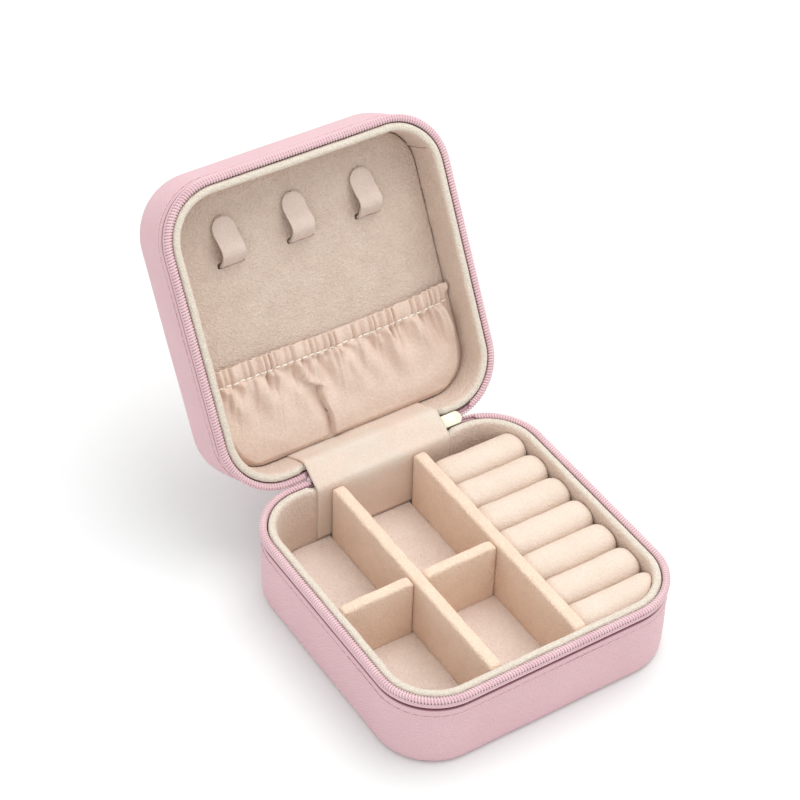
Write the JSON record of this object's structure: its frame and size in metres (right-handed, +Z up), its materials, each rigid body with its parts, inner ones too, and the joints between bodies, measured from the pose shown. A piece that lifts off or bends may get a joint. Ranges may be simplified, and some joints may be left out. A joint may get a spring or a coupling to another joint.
{
  "type": "travel jewellery case",
  "caption": "Small square zip-round travel jewellery case, hinged lid standing open, with divided compartments, ring cushions, necklace hooks and an elastic pocket.",
  "frame": {"origin": "centre of the flat underside of the base", "axes": "+Z up; +X to the right along the hinge, over the ring cushions; +Y to the back, where the hinge is"},
  "size_m": [0.1, 0.1681, 0.1162],
  "materials": {
    "pink_leather": "fine crosshatch grain, satin",
    "board": "grey board, matt",
    "foam": "open-cell foam, matt",
    "cream_velvet": "short-pile velvet, matt",
    "beige_velvet": "short-pile velvet, matt",
    "rose_velvet": "short-pile velvet, matt",
    "strap_velvet": "short-pile velvet on a stiff strap",
    "zip_tape": "woven polyester tape",
    "zip_nylon": "nylon monofilament",
    "elastic_band": "woven elastic",
    "cream_enamel": "cream enamel over zinc alloy, semi-gloss"
  },
  "bodies": {
    "base": {"base_cover": "pink_leather", "base_board": "board", "base_wall_liner": "cream_velvet", "base_zip_tape": "zip_tape", "base_zip_coil": "zip_nylon", "base_hinge_leather": "pink_leather", "base_hinge_flap": "cream_velvet", "floor_pad": "rose_velvet", "divider_left": "beige_velvet", "divider_right": "beige_velvet", "cross_divider_left": "beige_velvet", "cross_divider_right": "beige_velvet", "ring_tray": "beige_velvet", "ring_roll_1": "rose_velvet", "ring_roll_2": "rose_velvet", "ring_roll_3": "rose_velvet", "ring_roll_4": "rose_velvet", "ring_roll_5": "rose_velvet", "ring_roll_6": "rose_velvet", "ring_roll_7": "rose_velvet"},
    "lid": {"lid_cover": "pink_leather", "lid_board": "board", "lid_foam": "foam", "lid_panel": "beige_velvet", "lid_wall_liner": "cream_velvet", "lid_zip_tape": "zip_tape", "lid_zip_coil": "zip_nylon", "lid_hinge_leather": "pink_leather", "lid_hinge_flap": "cream_velvet", "pocket_cloth": "beige_velvet", "pocket_elastic": "elastic_band"},
    "hook_1_strap": {"hook_1": "strap_velvet"},
    "hook_2_strap": {"hook_2": "strap_velvet"},
    "hook_3_strap": {"hook_3": "strap_velvet"},
    "zip_ends": {"zip_stop_left": "zip_nylon", "zip_stop_right": "zip_nylon"},
    "slider": {"slider_body": "cream_enamel"},
    "pull": {"pull_tab": "cream_enamel"}
  },
  "joints": [
    {"name": "lid_hinge", "type": "hinge", "parent": "base", "child": "lid", "pos_m": [0, 0.0502, 0.028], "axis": [1, 0, 0], "range_deg": [0, 118]},
    {"name": "zip_fold", "type": "hinge", "parent": "base", "child": "zip_ends", "pos_m": [0, 0.0502, 0.028], "axis": [1, 0, 0], "range_deg": [0, 59]},
    {"name": "slider_travel", "type": "slide", "parent": "zip_ends", "child": "slider", "axis": [1, 0, 0], "range_m": [0, 0.003]},
    {"name": "pull_swing", "type": "hinge", "parent": "slider", "child": "pull", "pos_m": [0.0282, 0.05236, 0.0244], "axis": [1, 0, 0], "range_deg": [-4, 60]},
    {"name": "hook_1_flex", "type": "hinge", "parent": "lid", "child": "hook_1_strap", "pos_m": [-0.0256, 0.0956, 0.08314], "axis": [1, 0, 0], "range_deg": [0, 18], "stiffness_Nm_per_rad": 0.004},
    {"name": "hook_2_flex", "type": "hinge", "parent": "lid", "child": "hook_2_strap", "pos_m": [-0.0008, 0.0956, 0.08314], "axis": [1, 0, 0], "range_deg": [0, 18], "stiffness_Nm_per_rad": 0.004},
    {"name": "hook_3_flex", "type": "hinge", "parent": "lid", "child": "hook_3_strap", "pos_m": [0.024, 0.0956, 0.08314], "axis": [1, 0, 0], "range_deg": [0, 18], "stiffness_Nm_per_rad": 0.004}
  ],
  "couplings": [
    {"joint": "zip_fold", "follows": "lid_hinge", "ratio": 0.5}
  ]
}
